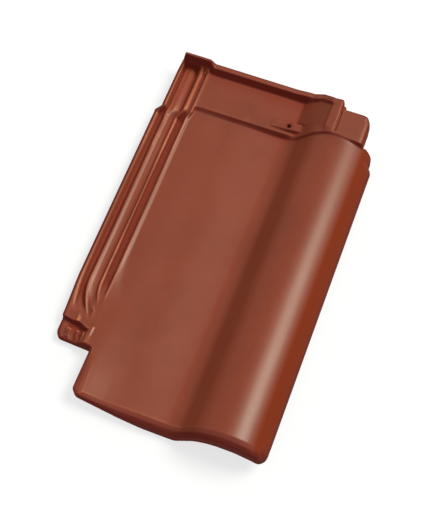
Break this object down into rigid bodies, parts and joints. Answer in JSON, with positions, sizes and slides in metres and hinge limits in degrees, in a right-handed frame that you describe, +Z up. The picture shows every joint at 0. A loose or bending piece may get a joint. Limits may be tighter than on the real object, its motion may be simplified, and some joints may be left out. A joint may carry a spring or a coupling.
{
  "type": "clay roof tile",
  "caption": "Flat clay roof tile with a raised roll along one side, a ribbed interlock along the other, and a raised head panel with a nail boss.",
  "frame": {"origin": "under the middle of the tile's box, on the level surface that it lies on", "axes": "+X across the tile from the side lock to the roll, +Y from the foot to the head, +Z up"},
  "size_m": [0.286, 0.471, 0.068],
  "materials": {
    "glazed_clay": "red-brown satin engobe over fired clay"
  },
  "bodies": {
    "root": {"roof_tile": "glazed_clay"}
  },
  "joints": []
}
